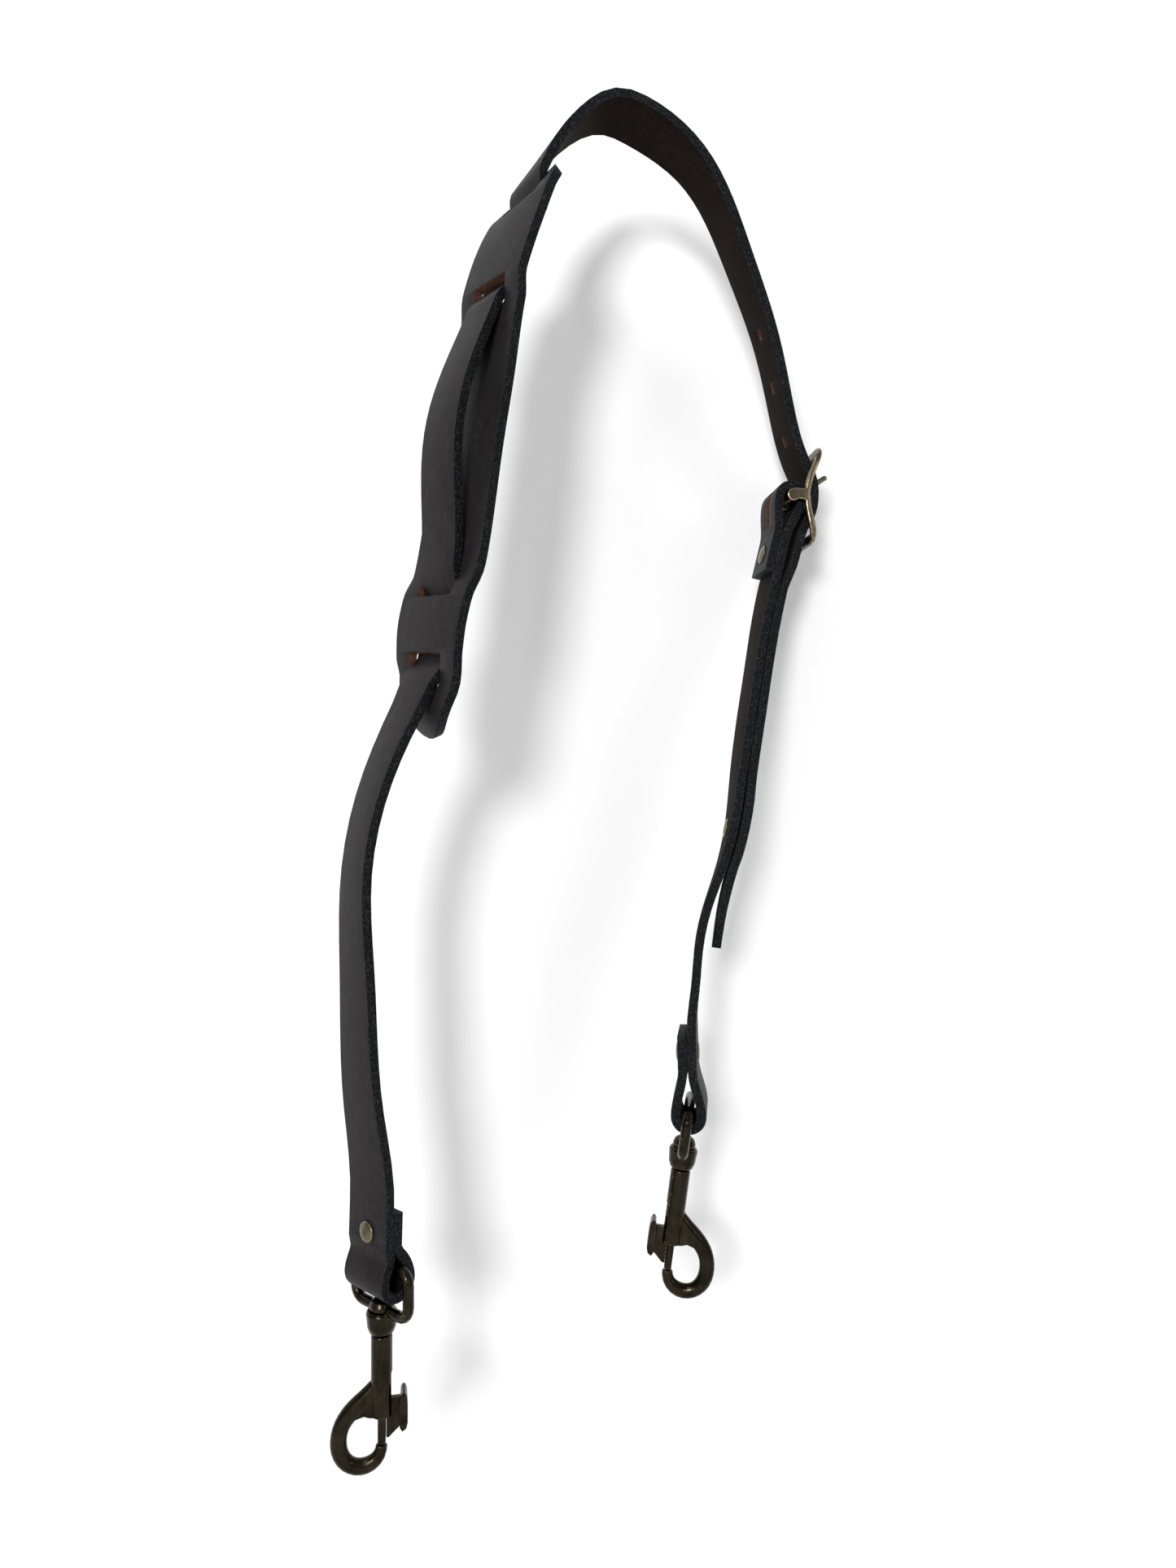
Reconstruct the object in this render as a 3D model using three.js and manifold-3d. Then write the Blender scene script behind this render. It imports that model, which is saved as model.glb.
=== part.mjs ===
// A leather shoulder strap for an instrument: a long main strap woven through a sliding shoulder pad and held by a
// centre-bar buckle, a short hook strap folded round that buckle, and a swivel snap hook on each end.
// Millimetres, +Z up. The origin is on the underside of the strap at the top of the arch, where it rests on the
// shoulder. +X runs from the pad side to the buckle side, and -Y faces someone who looks at the strap from the front.
import * as THREE from "three";
import { mergeVertices } from "three/addons/utils/BufferGeometryUtils.js";
import Module from "manifold-3d";

const wasm = await Module();
wasm.setup();

// ---- Driving dimensions ----

const leather = { thickness: 3.2, layerGap: 0.3 };
const strap = { width: 20, tipLength: 16, tipWidth: 7 };
const pad = {
  width: 38,
  endRound: 15, // length of each rounded end
  endWidth: 6, // left flat at the very end
  slotLength: 10, // along the strap
  firstSlotExtra: 0.9, // the lowest slot is longer, where the strap turns as it passes
  slotSideGap: 0.55, // each side of the strap
  slotCorner: 1.2,
  wave: 1, // how far the strap pushes the lips of each slot out of the pad's plane
  weaveHalf: 5.6, // half of the length in which the strap crosses from one face to the other
  bulge: 7, // how far the strap stands off the pad between its middle slots
  lowerEnd: 18.8, // from the middle of the lowest slot to the end of the pad
  upperEnd: 9.8, // from the middle of the highest slot to the end of the pad
  lowerCurl: 8, // how far each end hangs away from the strap
  upperCurl: 3.2,
};
const holes = { width: 2.6, length: 4.6, spacing: 20, above: 3, below: 3 };
const prongHole = { width: 3.6, length: 8.4 };

// How each folded end goes round its bar. drop, merge, legEnd and rivet are distances from the bar's axis, and
// shift is how far the doubled leather stands off that axis towards the main leg.
const leftFold = { loopWidth: 10.6, drop: 10.9, merge: 7.4, legEnd: 18.4, rivet: 11, shift: 2.2 };
const rightFold = { loopWidth: 9.4, drop: 8, merge: 14.2, legEnd: 26.5, rivet: 19, shift: 0 };
const buckleFold = { loopWidth: 9.2, drop: 6.2, merge: 15, legEnd: 29, rivet: 21.5, shift: 0 };

const rivet = { capRadius: 3.5, capHeight: 0.9, baseHeight: 0.6, postRadius: 1.5, postGap: 0.25, seatGap: 0.15 };

const buckle = {
  height: 36.8, // over the top and bottom bars
  lift: 1.7, // the frame's middle above the centre bar
  railWidth: 2.4,
  railDepth: 2.9,
  waistDepth: 2.2,
  endBarHeight: 4.2,
  endBarDepth: 2.1,
  cornerRadius: 5,
  sideGap: 0.8, // between the strap and each rail
  waistOut: 5.4, // from the centre bar out to the middle of a rail, at the waist
  endOut: 9.8, // the same at the ends
  barRadius: 1.6,
  earRadius: 2.3,
};
const prong = { boreGap: 0.3, wall: 1.4, width: 4, length: 20, rootRadius: 1.35, tipRadius: 1, angle: 36 };
const slit = { sideGap: 0.6, below: 11, prongSide: 2.5 };

// The snap hook's lengths run down from the axis of the eye's top bar.
const eye = { rodRadius: 1.9, sideGap: 1.6, height: 15.3, corner: 4.2 };
const collar = { top: 15.6, bottom: 22.9, topRadius: 4.6, radius: 5.2, footRadius: 4.1 };
const post = { radius: 2, headRadius: 4.1, headHeight: 4, socket: 3.4, gap: 0.15, endGap: 0.3 };
const barrel = { radius: 3.55, topGap: 0.6, end: 50.8, wall: 1, neckLength: 1, neckRadius: 1.75, chamfer: 0.5 };
const bolt = { radius: 1.95, pinRadius: 1.4, gap: 0.25, top: 42, end: 60.2, travel: 8.4 };
const spring = { coilRadius: 1.7, wireRadius: 0.3, coils: 8, endGap: 0.1 };
const tab = { webThickness: 1.9, gap: 0.25, flangeHalf: 3.1 };
const jaw = { flatten: 0.86, webThickness: 3.6 };

// Middle line of the hook below the barrel as [out, down, half width], in the plane of the thumb tab.
const jawLine = [
  [-1.5, 40, 2.2],
  [-5.2, 44.4, 2.9],
  [-9.8, 48.6, 3],
  [-12.9, 53, 2.8],
  [-14, 58, 2.8],
  [-13, 63, 2.8],
  [-10.4, 66, 2.7],
  [-6.6, 67.1, 2.7],
  [-2.8, 65.9, 2.5],
  [-0.6, 63.3, 2.15],
  [0, 60.5, 1.95],
];
const jawWeb = [[-2, 41], [-6, 44], [-10, 49], [-8.6, 50.8], [-5.8, 50], [-3.6, 50.8], [-2, 50.8]];
const tabWeb = [[0.8, 45], [6.4, 45], [6.4, 54.2], [2.4, 58], [0.8, 58]];
const tabFlange = [
  [5.9, 46.5],
  [6.3, 43.3],
  [7, 42.5],
  [7.7, 42.7],
  [8.3, 44],
  [8.5, 46.5],
  [8.5, 52.8],
  [8, 54.6],
  [6.6, 55.5],
  [5.8, 54.2],
];

// ---- The routes, from a numerical fit and partly adjusted by hand, as [x, y, z, turn, roll] ----
// turn swings the strap's width away from -Y towards +X, and roll tips it up, both in degrees.

const leftBar = [-77.2, -25.6, -396.8]; // middle of the left fold's loop
const leftEyeBar = [-76.4, -26.5, -396.8]; // middle of the left eye's top bar, which hangs to the fold's near side
const leftTurn = 48;
const leftEyeTurn = 50;
const leftFoldLean = 2; // of the doubled leather, from the vertical towards its outer side
const leftRise = [
  [-82.4, -28.1, -343.8, 43, 2],
  [-84.2, -28.4, -302.3, 38, 0],
  [-84.5, -28.7, -269.2, 33, -3],
  [-79.9, -28.7, -243.9, 31, -8],
  [-69.9, -28.4, -218.4, 32, -9],
];
const padRise = [
  [-62.8, -28.6, -201, 37, -6],
  [-61.3, -28.4, -186.4, 40, -4],
  [-58, -27.4, -171, 41, -3],
  [-54.9, -25.6, -153, 41, -2],
  [-51.4, -23.4, -127.2, 40, -1],
  [-47.3, -20.9, -102.5, 38, 0],
  [-42.4, -18.6, -72, 36, -3],
  [-30.4, -13.3, -35.3, 33, -3],
];
const shoulder = [
  [-23.7, -8, -20.6, 24, -4],
  [-13.4, -3.2, -6.1, 21, 0],
  [0, -0.2, 1.6, 20, 5],
  [10.3, 2.6, -0.3, 19, 8],
  [30.3, 8.5, -12.7, 16, 1],
  [47.7, 15.4, -43.1, 12, -6],
  [59.7, 22.3, -72.1, 10, -10],
  [66, 27.6, -94.6, 8, -8],
];
const slotsAt = [-200.3, -171.4, -72.4, -35]; // heights at which the strap crosses the pad

const buckleBar = [68, 32, -129.4]; // axis of the centre bar, at mid width
const buckleTurn = 6;
const buckleLean = 4; // of the frame, from the vertical
const throughBuckle = [
  [4, -15],
  [8, -7],
  [9, -0.5],
  [8.3, 5.5],
  [5.6, 12],
  [4.4, 17],
  [3.5, 21.5],
  [2.7, 25.5],
]; // as [out, down] from the centre bar

const hookStrapLean = 13.5; // of the fold at the buckle, from the vertical
const hookStrapFall = [
  [56, 26.6, -190, 4, 4],
  [51.6, 21.6, -214.2, 4, 5],
  [48.3, 17.9, -234.6, 2, 6],
  [45.3, 15, -253.9, -1, 8],
  [41.1, 12.7, -269.4, -3, 9],
  [35.6, 10.5, -284.5, -5, 9],
  [32.4, 8.6, -298.8, -6, 6],
  [31.2, 6.9, -311.8, -7, 3],
];
const rightBar = [28.8, 5, -354.2]; // axis of the right eye's top bar, at mid width
const rightTurn = -8;
const rightFoldLean = -1.5;
const tail = {
  topHeight: -163,
  tipHeight: -297.4,
  gap: 0.5,
  spread: 2.6,
  spreadLength: 35,
  rivetRoom: 0.5,
  roomLength: 14,
};
const looseRivetHeight = -255; // of the rivet set in the hook strap by itself

const leftHook = { bar: leftEyeBar, eyeTurn: leftEyeTurn, turn: 11, lean: 0 };
const rightHook = { bar: rightBar, eyeTurn: rightTurn, turn: 175, lean: 7.7 };

// ---- Materials ----

const grain = { color: 0x2f2624, roughness: 0.5, metalness: 0 };
const antiqueBrass = { color: 0x4a3f2a, roughness: 0.4, metalness: 0.9 };
const brass = { color: 0x9c8450, roughness: 0.35, metalness: 0.9 };
const steel = { color: 0x8a8a86, roughness: 0.4, metalness: 0.9 };

// ---- Solids ----

const object = new THREE.Group();

function add(name, geometry, look, matrix) {
  const mesh = new THREE.Mesh(geometry, new THREE.MeshStandardMaterial(look));
  mesh.name = name;
  if (matrix) mesh.applyMatrix4(matrix);
  object.add(mesh);
}

function solid(geometry, matrix) {
  const g = geometry.clone();
  g.deleteAttribute("normal");
  g.deleteAttribute("uv");
  if (matrix) g.applyMatrix4(matrix);
  const merged = mergeVertices(g, 1e-4);
  const triVerts = new Uint32Array(merged.index.array);
  const vertProperties = merged.attributes.position.array;
  return new wasm.Manifold(new wasm.Mesh({ numProp: 3, vertProperties, triVerts }));
}

function geometryOf(manifold) {
  const mesh = manifold.getMesh();
  const geometry = new THREE.BufferGeometry();
  geometry.setAttribute("position", new THREE.BufferAttribute(mesh.vertProperties, 3));
  geometry.setIndex(new THREE.BufferAttribute(mesh.triVerts, 1));
  return geometry;
}

function union(...parts) {
  return parts.reduce((all, part) => all.add(part));
}

function cut(body, ...tools) {
  return tools.reduce((rest, tool) => rest.subtract(tool), body);
}

function turnedInsideOut(points, index) {
  let volume = 0;
  for (let i = 0; i < index.length; i += 3) {
    const [a, b, c] = [0, 1, 2].map((k) => points[index[i + k]]);
    volume += a.dot(b.clone().cross(c));
  }
  return volume < 0;
}

// Skins a row of rings of points. A ring may be a single point, an open row gets flat ends where it ends in a
// whole ring, and a closed row joins its last ring to its first.
function loft(rings, closed = false) {
  const points = rings.flat();
  const starts = rings.map((_, i) => rings.slice(0, i).reduce((sum, ring) => sum + ring.length, 0));
  const index = [];
  const spans = closed ? rings.length : rings.length - 1;
  for (let i = 0; i < spans; i++) {
    const next = (i + 1) % rings.length;
    const [n, m] = [rings[i].length, rings[next].length];
    for (let j = 0; j < Math.max(n, m); j++) {
      const k = j + 1;
      const [a, b] = [starts[i] + (j % n), starts[i] + (k % n)];
      const [c, d] = [starts[next] + (j % m), starts[next] + (k % m)];
      if (n > 1) index.push(a, b, d);
      if (m > 1) index.push(a, d, c);
    }
  }
  if (!closed) {
    const last = rings.length - 1;
    for (let j = 1; j < rings[0].length - 1; j++) index.push(starts[0], starts[0] + j + 1, starts[0] + j);
    for (let j = 1; j < rings[last].length - 1; j++) {
      index.push(starts[last], starts[last] + j, starts[last] + j + 1);
    }
  }
  if (turnedInsideOut(points, index)) index.reverse();
  const geometry = new THREE.BufferGeometry().setFromPoints(points);
  geometry.setIndex(index);
  return geometry;
}

// A solid of revolution about the Y axis, from [radius, height] pairs that start and end on the axis.
function turned(profile, sides = 24) {
  return loft(
    profile.map(([radius, y]) => {
      if (radius === 0) return [vector(0, y, 0)];
      return Array.from({ length: sides }, (_, i) => {
        const angle = (2 * Math.PI * i) / sides;
        return vector(radius * Math.cos(angle), y, radius * Math.sin(angle));
      });
    }),
  );
}

function cylinder(radius, from, to, sides = 24) {
  return turned([[0, from], [radius, from], [radius, to], [0, to]], sides);
}

// A flat plate of this outline in the XY plane, centred on it.
function plate(outline, thickness) {
  const shape = new THREE.Shape(outline.map(([x, y]) => new THREE.Vector2(x, y)));
  const geometry = new THREE.ExtrudeGeometry(shape, { depth: thickness, bevelEnabled: false });
  return solid(geometry.translate(0, 0, -thickness / 2));
}

// ---- Frames ----
// A frame holds a point and three unit vectors: wide, across the strap and towards the viewer; along, the way the
// strap runs; and out, off its outer face.

function vector(x, y, z) {
  return new THREE.Vector3(x, y, z);
}

function widthAt(turn, roll) {
  const a = THREE.MathUtils.degToRad(turn);
  const b = THREE.MathUtils.degToRad(roll);
  return vector(Math.sin(a) * Math.cos(b), -Math.cos(a) * Math.cos(b), Math.sin(b));
}

function leanDown(degrees) {
  const a = THREE.MathUtils.degToRad(degrees);
  return vector(-Math.sin(a), 0, -Math.cos(a));
}

function frameAt(point, wideHint, direction) {
  const along = direction.clone().normalize();
  const wide = wideHint.clone().addScaledVector(along, -wideHint.dot(along)).normalize();
  return { point, wide, along, out: wide.clone().cross(along) };
}

// The frame of a fold round a level bar, with along going up the doubled leather.
function foldFrame(bar, turn, lean) {
  const wide = widthAt(turn, 0);
  const up = vector(0, 0, 1).applyAxisAngle(wide, THREE.MathUtils.degToRad(-lean));
  return frameAt(vector(...bar), wide, up);
}

// The same place with its outer and inner faces changed over.
function flipped(frame) {
  return { ...frame, out: frame.out.clone().negate(), wide: frame.wide.clone().negate() };
}

function place(frame, out, along, wide = 0) {
  return frame.point
    .clone()
    .addScaledVector(frame.out, out)
    .addScaledVector(frame.along, along)
    .addScaledVector(frame.wide, wide);
}

// Puts x along out and y along the strap.
function matrixOf(frame) {
  const matrix = new THREE.Matrix4();
  matrix.makeBasis(frame.out, frame.along, frame.out.clone().cross(frame.along));
  return matrix.setPosition(frame.point);
}

// Puts y along out and x across the strap.
function outwardMatrix(frame) {
  const matrix = new THREE.Matrix4();
  matrix.makeBasis(frame.wide, frame.out, frame.wide.clone().cross(frame.out));
  return matrix.setPosition(frame.point);
}

// A natural cubic through values at rising stations.
function cubicThrough(stations, values) {
  const n = stations.length;
  const h = stations.slice(1).map((s, i) => s - stations[i]);
  const bend = new Array(n).fill(0);
  const upper = new Array(n).fill(0);
  for (let i = 1; i < n - 1; i++) {
    const jump = (values[i + 1] - values[i]) / h[i] - (values[i] - values[i - 1]) / h[i - 1];
    const pivot = 2 * (h[i - 1] + h[i]) - h[i - 1] * upper[i - 1];
    upper[i] = h[i] / pivot;
    bend[i] = (6 * jump - h[i - 1] * bend[i - 1]) / pivot;
  }
  for (let i = n - 2; i > 0; i--) bend[i] -= upper[i] * bend[i + 1];
  return (s) => {
    let i = 0;
    while (i < n - 2 && s > stations[i + 1]) i++;
    const a = (stations[i + 1] - s) / h[i];
    const b = 1 - a;
    const sag = ((a ** 3 - a) * bend[i] + (b ** 3 - b) * bend[i + 1]) * (h[i] ** 2 / 6);
    return a * values[i] + b * values[i + 1] + sag;
  };
}

// A smooth line through rows of numbers, spaced by the distance between their first few columns.
class Line {
  constructor(rows, dimensions) {
    this.stations = [0];
    for (let i = 1; i < rows.length; i++) {
      const steps = dimensions.map((k) => rows[i][k] - rows[i - 1][k]);
      this.stations.push(this.stations[i - 1] + Math.hypot(...steps));
    }
    this.length = this.stations.at(-1);
    this.columns = rows[0].map((_, k) => cubicThrough(this.stations, rows.map((row) => row[k])));
  }
  at(s) {
    return this.columns.map((column) => column(s));
  }
}

// A smooth route through [x, y, z, turn, roll] rows.
class Route extends Line {
  constructor(rows) {
    super(rows, [0, 1, 2]);
  }
  frame(s) {
    const [x, y, z, turn, roll] = this.at(s);
    const ahead = this.at(s + 0.05);
    const behind = this.at(s - 0.05);
    const along = vector(...[0, 1, 2].map((k) => ahead[k] - behind[k]));
    return frameAt(vector(x, y, z), widthAt(turn, roll), along);
  }
  // Where the route has this height, on a stretch that only rises or only falls.
  atHeight(z, to = this.length) {
    let [low, high] = [0, to];
    const rising = this.at(to)[2] > this.at(0)[2];
    for (let i = 0; i < 40; i++) {
      const middle = (low + high) / 2;
      if (this.at(middle)[2] < z === rising) low = middle;
      else high = middle;
    }
    return low;
  }
}

// Stations from one place to another in equal steps of about this size.
function stationsBetween(from, to, step) {
  const count = Math.max(Math.ceil((to - from) / step), 1);
  return Array.from({ length: count + 1 }, (_, i) => from + ((to - from) * i) / count);
}

function smooth(x) {
  const u = Math.min(Math.max(x, 0), 1);
  return u * u * (3 - 2 * u);
}

// ---- Leather ----

const legOffset = (leather.thickness + leather.layerGap) / 2;
const layerStep = leather.thickness + leather.layerGap;
const doubledFace = legOffset + leather.thickness / 2;

// A folded end as [out, along] from the bar, along away from the fold: its short leg, its loop and its main leg.
function foldPath({ loopWidth, drop, merge, legEnd, shift }) {
  const radius = loopWidth / 2;
  const arcCentre = radius + leather.thickness / 2 - drop;
  const legSteps = [...stationsBetween(arcCentre, merge, 2), legEnd];
  const leg = (along, side) => {
    const closed = smooth((along - arcCentre) / (merge - arcCentre));
    return [side * radius + shift * closed ** 5 + side * (legOffset - radius) * closed, along];
  };
  const arc = stationsBetween(Math.PI, 2 * Math.PI, Math.PI / 14).slice(1, -1);
  return [
    ...legSteps.map((along) => leg(along, -1)).reverse(),
    ...arc.map((angle) => [radius * Math.cos(angle), arcCentre + radius * Math.sin(angle)]),
    ...legSteps.map((along) => leg(along, 1)),
  ];
}

// The places along a folded end. mainSide is 1 where the main leg is on the frame's outer side.
function foldRow(frame, fold, mainSide) {
  return foldPath(fold).map(([out, along]) => ({ point: place(frame, mainSide * out, along), wide: frame.wide }));
}

function offsetRow(route, stations, offset) {
  return stations.map((s) => {
    const frame = route.frame(s);
    return { point: place(frame, offset(s), 0), wide: frame.wide };
  });
}

// Frames along a row of places, each facing the way its neighbours lie.
function framesThrough(row) {
  return row.map(({ point, wide }, i) => {
    const before = row[Math.max(i - 1, 0)].point;
    const after = row[Math.min(i + 1, row.length - 1)].point;
    return frameAt(point, wide, after.clone().sub(before));
  });
}

function strip(frames, widthOf) {
  const rise = leather.thickness / 2;
  return loft(
    frames.map((frame, i) => {
      const half = widthOf(i) / 2;
      return [
        place(frame, rise, 0, half),
        place(frame, -rise, 0, half),
        place(frame, -rise, 0, -half),
        place(frame, rise, 0, -half),
      ];
    }),
  );
}

// A tool for an oblong hole that runs along the strap.
function oblongTool(frame, width, length) {
  const run = (length - width) / 2;
  const shape = new THREE.Shape();
  shape.absarc(0, run, width / 2, 0, Math.PI, false);
  shape.absarc(0, -run, width / 2, Math.PI, 2 * Math.PI, false);
  const depth = 3 * leather.thickness;
  const geometry = new THREE.ExtrudeGeometry(shape, { depth, bevelEnabled: false, curveSegments: 6 });
  geometry.translate(0, 0, -depth / 2);
  const matrix = new THREE.Matrix4().makeBasis(frame.wide, frame.along, frame.out);
  return solid(geometry, matrix.setPosition(frame.point));
}

// A tool for a slot across the pad, with rounded corners.
function slotTool(frame, width, length, corner) {
  const across = width / 2 - corner;
  const along = length / 2 - corner;
  const shape = new THREE.Shape();
  shape.absarc(across, along, corner, 0, Math.PI / 2, false);
  shape.absarc(-across, along, corner, Math.PI / 2, Math.PI, false);
  shape.absarc(-across, -along, corner, Math.PI, 1.5 * Math.PI, false);
  shape.absarc(across, -along, corner, 1.5 * Math.PI, 2 * Math.PI, false);
  const depth = 4 * leather.thickness;
  const geometry = new THREE.ExtrudeGeometry(shape, { depth, bevelEnabled: false, curveSegments: 4 });
  geometry.translate(0, 0, -depth / 2);
  const matrix = new THREE.Matrix4().makeBasis(frame.wide, frame.along, frame.out);
  return solid(geometry, matrix.setPosition(frame.point));
}

function squareTool(frame, sizes, centre = [0, 0, 0]) {
  return solid(new THREE.BoxGeometry(...sizes).translate(...centre), matrixOf(frame));
}

// ---- Rivets: a cap with its post, and a base cap, through the leather between two faces ----

function dome(seat, height) {
  const { capRadius } = rivet;
  return [
    [capRadius, seat],
    [capRadius, seat + height * 0.35],
    [capRadius * 0.8, seat + height * 0.8],
    [capRadius * 0.4, seat + height * 0.97],
    [0, seat + height],
  ];
}

// face is how far the leather's two faces are from the frame's point.
function addRivet(name, frame, face) {
  const seat = face + rivet.seatGap;
  const postEnd = rivet.seatGap - seat;
  const post = [[0, postEnd], [rivet.postRadius, postEnd], [rivet.postRadius, seat]];
  const cap = turned([...post, ...dome(seat, rivet.capHeight)]);
  const base = turned([[0, -seat], ...dome(-seat, -rivet.baseHeight)]);
  add(name + "_cap", cap, brass, outwardMatrix(frame));
  add(name + "_base", base, brass, outwardMatrix(frame));
}

function rivetHole(frame) {
  const reach = 4 * leather.thickness;
  return solid(cylinder(rivet.postRadius + rivet.postGap, -reach, reach), outwardMatrix(frame));
}

// The middle of a folded end's doubled leather at its rivet.
function foldRivet(frame, fold, mainSide) {
  return { ...frame, point: place(frame, mainSide * fold.shift, fold.rivet) };
}

// ---- Where the straps run ----

const leftFrame = foldFrame(leftBar, leftTurn, leftFoldLean);
const rightFrame = foldFrame(rightBar, rightTurn, rightFoldLean);
const buckleFrame = frameAt(vector(...buckleBar), widthAt(buckleTurn, 0), leanDown(buckleLean));
const hookStrapFrame = frameAt(vector(...buckleBar), widthAt(buckleTurn, 0), leanDown(hookStrapLean));

// The two rows that carry a route on straight from a folded end's main leg.
function legRows(frame, fold, side, turn) {
  return [0, leather.thickness].map((step) => {
    return [...place(frame, side * (legOffset + fold.shift), fold.legEnd + step).toArray(), turn, 0];
  });
}

// The main strap's own line, except at the pad, where it is the line of the strap's outer runs.
const mainRoute = new Route([
  ...legRows(leftFrame, leftFold, 1, leftTurn),
  ...leftRise,
  ...padRise,
  ...shoulder,
  ...throughBuckle.map(([out, along]) => [...place(buckleFrame, out, along).toArray(), buckleTurn, 0]),
]);
const crest = mainRoute.stations[2 + leftRise.length + padRise.length + 2];
const slotStations = slotsAt.map((z) => mainRoute.atHeight(z, crest));

const hookRoute = new Route([
  ...legRows(hookStrapFrame, buckleFold, 1, buckleTurn),
  ...hookStrapFall,
  ...legRows(rightFrame, rightFold, -1, rightTurn).reverse(),
]);

// 1 where the strap lies outside the pad, and -1 where it runs behind it.
function weave(s) {
  return slotStations.reduce((side, at) => {
    const u = Math.min(Math.max((s - at) / pad.weaveHalf, -1), 1);
    return -side * Math.sin((u * Math.PI) / 2);
  }, 1);
}

const middleDepth = layerStep - pad.wave; // of the pad's middle plane under the strap's outer runs

function strapOffset(s) {
  const [, from, to] = slotStations;
  const u = (s - from - pad.weaveHalf) / (to - from - 2 * pad.weaveHalf);
  const stand = u > 0 && u < 1 ? pad.bulge * Math.sin(Math.PI * u ** 1.15) ** 1.2 : 0;
  return middleDepth * (weave(s) - 1) + stand;
}

function padOffset(s) {
  const lip = pad.slotLength / 2;
  const low = Math.max(slotStations[0] - lip - s, 0) / (pad.lowerEnd - lip);
  const high = Math.max(s - slotStations[3] - lip, 0) / (pad.upperEnd - lip);
  return -middleDepth - pad.wave * weave(s) - pad.lowerCurl * low ** 2 - pad.upperCurl * high ** 2;
}

function mainStations() {
  const [a, b, c, d] = slotStations;
  const edge = pad.weaveHalf + 1;
  return [
    ...stationsBetween(0, a - edge, 8),
    ...stationsBetween(a - edge, b + edge, 1.8).slice(1),
    ...stationsBetween(b + edge, c - edge, 5).slice(1),
    ...stationsBetween(c - edge, d + edge, 1.8).slice(1),
    ...stationsBetween(d + edge, mainRoute.length - 55, 5).slice(1),
    ...stationsBetween(mainRoute.length - 55, mainRoute.length, 2).slice(1),
  ];
}

// The free end lies on the outer face of the hook strap, standing off it where a rivet is set.
function tailRow() {
  const from = hookRoute.atHeight(tail.topHeight);
  const to = hookRoute.atHeight(tail.tipHeight);
  const rivetAt = hookRoute.atHeight(looseRivetHeight);
  return offsetRow(hookRoute, stationsBetween(from, to, 5), (s) => {
    const room = tail.rivetRoom * smooth(1.5 - Math.abs(s - rivetAt) / tail.roomLength);
    const spread = tail.spread * smooth((s - to + tail.spreadLength) / tail.spreadLength);
    return leather.thickness + tail.gap + Math.max(room, spread);
  });
}

// ---- The main strap and the pad ----

// A frame at a distance along a row of frames.
function frameAlong(frames, run, distance) {
  const i = run.findIndex((r) => r > distance);
  const share = (distance - run[i - 1]) / (run[i] - run[i - 1]);
  return { ...frames[i], point: frames[i - 1].point.clone().lerp(frames[i].point, share) };
}

// How far along a row of frames the prong's line goes through it.
function prongCrossing(frames, run) {
  const line = prongTip().sub(buckleFrame.point);
  const places = stationsBetween(1, run.at(-1) - 1, 0.25);
  const miss = places.map((distance) => {
    const arm = frameAlong(frames, run, distance).point.sub(buckleFrame.point);
    return arm.dot(line) < 0 ? Infinity : arm.cross(line).length();
  });
  return places[miss.indexOf(Math.min(...miss))];
}

function prongTip() {
  const angle = THREE.MathUtils.degToRad(prong.angle);
  return place(buckleFrame, prong.length * Math.cos(angle), -prong.length * Math.sin(angle));
}

function addMainStrap() {
  const fold = foldRow(leftFrame, leftFold, 1);
  const frames = framesThrough([...fold, ...offsetRow(mainRoute, mainStations(), strapOffset).slice(1), ...tailRow()]);
  const run = [0];
  frames.slice(1).forEach(({ point }, i) => run.push(run[i] + point.distanceTo(frames[i].point)));
  const widthOf = (i) => {
    const left = Math.min((run.at(-1) - run[i]) / strap.tipLength, 1);
    return strap.tipWidth + (strap.width - strap.tipWidth) * left ** 0.8;
  };
  const prongAt = prongCrossing(frames, run);
  const tools = [oblongTool(frameAlong(frames, run, prongAt), prongHole.width, prongHole.length)];
  for (let k = -holes.above; k <= holes.below; k++) {
    if (k === 0) continue;
    tools.push(oblongTool(frameAlong(frames, run, prongAt + k * holes.spacing), holes.width, holes.length));
  }
  const rivetAt = foldRivet(leftFrame, leftFold, 1);
  const body = solid(strip(frames, widthOf));
  add("main_strap", geometryOf(cut(body, ...tools, rivetHole(rivetAt))), grain);
  addRivet("left_fold_rivet", rivetAt, doubledFace);
}

function addPad() {
  const start = slotStations[0] - pad.lowerEnd;
  const end = slotStations[3] + pad.upperEnd;
  const ends = [0, 0.6, 1.4, 2.6];
  const middle = stationsBetween(start + 4.2, end - 4.2, 2.4);
  const stations = [...ends.map((s) => start + s), ...middle, ...ends.map((s) => end - s).reverse()];
  const frames = framesThrough(offsetRow(mainRoute, stations, padOffset));
  const body = solid(
    strip(frames, (i) => {
      const toEnd = Math.min(stations[i] - start, end - stations[i], pad.endRound) / pad.endRound;
      return pad.endWidth + (pad.width - pad.endWidth) * Math.sqrt(1 - (1 - toEnd) ** 2);
    }),
  );
  const slots = slotStations.map((s, i) => {
    const length = pad.slotLength + (i === 0 ? pad.firstSlotExtra : 0);
    return slotTool(mainRoute.frame(s), strap.width + 2 * pad.slotSideGap, length, pad.slotCorner);
  });
  add("shoulder_pad", geometryOf(cut(body, ...slots)), grain);
}

// ---- The hook strap ----

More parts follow.
